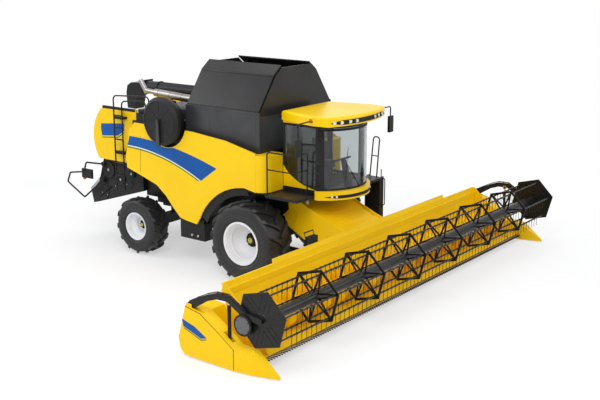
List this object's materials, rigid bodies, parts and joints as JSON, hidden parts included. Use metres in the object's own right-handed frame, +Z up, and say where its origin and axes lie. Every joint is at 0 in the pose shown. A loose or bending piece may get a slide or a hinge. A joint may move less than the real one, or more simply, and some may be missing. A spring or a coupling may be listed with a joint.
{
  "type": "combine harvester with grain header",
  "caption": "Self-propelled combine harvester with a wide reel header, cab, open grain tank covers and stowed unloading auger.",
  "frame": {"origin": "on the ground at the middle of the machine's whole length and width", "axes": "+X forward, +Y to the machine's left, +Z up"},
  "size_m": [11.1054, 11.278, 4.85],
  "materials": {
    "yellow_panel": "glossy moulded panel",
    "yellow_sheet": "gloss painted steel",
    "black_steel": "satin black painted steel",
    "tank_grey": "satin grey painted steel",
    "cover_black": "satin black sheet",
    "rod_chrome": "ground and plated",
    "engine_iron": "painted castings",
    "exhaust_steel": "heat-dulled steel",
    "tyre_rubber": "matte rubber",
    "rim_white": "gloss white paint",
    "window_glass": "clear tinted glass",
    "seat_fabric": "woven upholstery",
    "lamp_glass": "clear lamp lens"
  },
  "bodies": {
    "machine": {"access_ladder": "black_steel", "auger_turret": "black_steel", "bumper": "yellow_sheet", "cab_frame": "black_steel", "cab_glass": "window_glass", "cab_roof": "yellow_panel", "chassis_frame": "black_steel", "console": "cover_black", "corner_panels": "yellow_panel", "drive_axle": "black_steel", "engine": "engine_iron", "engine_deck": "black_steel", "exhaust": "exhaust_steel", "fenders": "black_steel", "grain_tank": "tank_grey", "mirrors": "cover_black", "platforms": "black_steel", "rear_guards": "black_steel", "rear_hood": "yellow_panel", "rear_ladder": "black_steel", "screen_housing": "black_steel", "seat": "seat_fabric", "separator_body": "black_steel", "steer_axle": "black_steel", "straw_chopper": "black_steel", "tank_auger": "tank_grey", "tool_box": "black_steel", "work_lamps": "lamp_glass"},
    "drive_wheel_right": {"drive_tyre_right": "tyre_rubber", "drive_rim_right": "rim_white"},
    "drive_wheel_left": {"drive_tyre_left": "tyre_rubber", "drive_rim_left": "rim_white"},
    "steer_knuckle_right": {"knuckle_right": "black_steel"},
    "steer_knuckle_left": {"knuckle_left": "black_steel"},
    "steer_wheel_right": {"steer_tyre_right": "tyre_rubber", "steer_rim_right": "rim_white"},
    "steer_wheel_left": {"steer_tyre_left": "tyre_rubber", "steer_rim_left": "rim_white"},
    "header": {"feeder_house": "yellow_sheet", "header_frame": "yellow_sheet", "dividers": "yellow_sheet", "knife_bar": "black_steel", "quick_coupler": "black_steel"},
    "header_auger": {"header_auger": "yellow_sheet"},
    "reel_arms": {"reel_arms": "black_steel"},
    "reel": {"reel": "black_steel"},
    "reel_barrels": {"reel_barrels": "black_steel"},
    "reel_rods": {"reel_rods": "rod_chrome"},
    "lift_barrels": {"lift_barrels": "black_steel"},
    "lift_rods": {"lift_rods": "rod_chrome"},
    "unloading_auger": {"unloading_auger": "black_steel"},
    "cab_door": {"cab_door": "black_steel", "door_glass": "window_glass"},
    "side_shield_right": {"side_shield_right": "yellow_panel"},
    "side_shield_left": {"side_shield_left": "yellow_panel"},
    "tank_cover_right": {"tank_cover_right": "cover_black"},
    "tank_cover_left": {"tank_cover_left": "cover_black"},
    "tank_cover_front": {"tank_cover_front": "cover_black"},
    "tank_cover_rear": {"tank_cover_rear": "cover_black"},
    "dust_screen": {"dust_screen": "cover_black"}
  },
  "joints": [
    {"name": "drive_wheel_spin_right", "type": "hinge", "parent": "machine", "child": "drive_wheel_right", "pos_m": [1.3473, -1.45, 0.95], "axis": [0, 1, 0], "continuous": true},
    {"name": "steer_right", "type": "hinge", "parent": "machine", "child": "steer_knuckle_right", "pos_m": [-2.2427, -0.9, 0.71], "axis": [0, 0, 1], "range_deg": [-28, 28]},
    {"name": "steer_wheel_spin_right", "type": "hinge", "parent": "steer_knuckle_right", "child": "steer_wheel_right", "pos_m": [-2.2427, -1.35, 0.71], "axis": [0, 1, 0], "continuous": true},
    {"name": "drive_wheel_spin_left", "type": "hinge", "parent": "machine", "child": "drive_wheel_left", "pos_m": [1.3473, 1.45, 0.95], "axis": [0, 1, 0], "continuous": true},
    {"name": "steer_left", "type": "hinge", "parent": "machine", "child": "steer_knuckle_left", "pos_m": [-2.2427, 0.9, 0.71], "axis": [0, 0, 1], "range_deg": [-28, 28]},
    {"name": "steer_wheel_spin_left", "type": "hinge", "parent": "steer_knuckle_left", "child": "steer_wheel_left", "pos_m": [-2.2427, 1.35, 0.71], "axis": [0, 1, 0], "continuous": true},
    {"name": "header_lift", "type": "hinge", "parent": "machine", "child": "header", "pos_m": [1.8473, 0, 1.75], "axis": [0, -1, 0], "range_deg": [0, 22]},
    {"name": "header_auger_spin", "type": "hinge", "parent": "header", "child": "header_auger", "pos_m": [4.1273, 0, 0.56], "axis": [0, 1, 0], "continuous": true},
    {"name": "reel_lift", "type": "hinge", "parent": "header", "child": "reel_arms", "pos_m": [3.3373, 0, 0.99], "axis": [0, -1, 0], "range_deg": [0, 20]},
    {"name": "reel_spin", "type": "hinge", "parent": "reel_arms", "child": "reel", "pos_m": [4.9973, 0, 1.075], "axis": [0, 1, 0], "continuous": true},
    {"name": "lift_barrel_tilt", "type": "hinge", "parent": "machine", "child": "lift_barrels", "pos_m": [1.5273, 0, 0.62], "axis": [0, -1, 0], "range_deg": [0, 15.82]},
    {"name": "lift_rod_slide", "type": "slide", "parent": "lift_barrels", "child": "lift_rods", "axis": [0.9999, 0, -0.0151], "range_m": [0, 0.4224]},
    {"name": "reel_barrel_tilt", "type": "hinge", "parent": "header", "child": "reel_barrels", "pos_m": [4.2273, 0, 0.48], "axis": [0, -1, 0], "range_deg": [0, 8.28]},
    {"name": "reel_rod_slide", "type": "slide", "parent": "reel_barrels", "child": "reel_rods", "axis": [0, 0, 1], "range_m": [0, 0.3033]},
    {"name": "unloading_swing", "type": "hinge", "parent": "machine", "child": "unloading_auger", "pos_m": [1.0473, 1.62, 3.62], "axis": [0, 0, -1], "range_deg": [0, 100]},
    {"name": "cab_door_hinge", "type": "hinge", "parent": "machine", "child": "cab_door", "pos_m": [1.8773, 0.921, 2.9], "axis": [0, 0, 1], "range_deg": [0, 80]},
    {"name": "side_shield_hinge_right", "type": "hinge", "parent": "machine", "child": "side_shield_right", "pos_m": [-0.3527, -1.56, 3.33], "axis": [-1, 0, 0], "range_deg": [0, 70]},
    {"name": "tank_cover_hinge_right", "type": "hinge", "parent": "machine", "child": "tank_cover_right", "pos_m": [0.4473, -1.31941, 3.8703], "axis": [-1, 0, 0], "range_deg": [0, 45]},
    {"name": "side_shield_hinge_left", "type": "hinge", "parent": "machine", "child": "side_shield_left", "pos_m": [-0.3527, 1.56, 3.33], "axis": [1, 0, 0], "range_deg": [0, 70]},
    {"name": "tank_cover_hinge_left", "type": "hinge", "parent": "machine", "child": "tank_cover_left", "pos_m": [0.4473, 1.31941, 3.8703], "axis": [1, 0, 0], "range_deg": [0, 45]},
    {"name": "tank_cover_hinge_front", "type": "hinge", "parent": "machine", "child": "tank_cover_front", "pos_m": [1.5193, 0, 3.77], "axis": [0, -1, 0], "range_deg": [0, 90]},
    {"name": "tank_cover_hinge_rear", "type": "hinge", "parent": "machine", "child": "tank_cover_rear", "pos_m": [-0.6447, 0, 3.77], "axis": [0, 1, 0], "range_deg": [0, 90]},
    {"name": "dust_screen_spin", "type": "hinge", "parent": "machine", "child": "dust_screen", "pos_m": [-1.1427, -1.6, 3.46], "axis": [0, 1, 0], "continuous": true}
  ],
  "couplings": [
    {"joint": "steer_left", "follows": "steer_right", "ratio": 1},
    {"joint": "lift_barrel_tilt", "follows": "header_lift", "ratio": 0.70493},
    {"joint": "lift_rod_slide", "follows": "header_lift", "m_per_rad": 1.0786},
    {"joint": "reel_barrel_tilt", "follows": "reel_lift", "ratio": 0.40565},
    {"joint": "reel_rod_slide", "follows": "reel_lift", "m_per_rad": 0.85196}
  ]
}
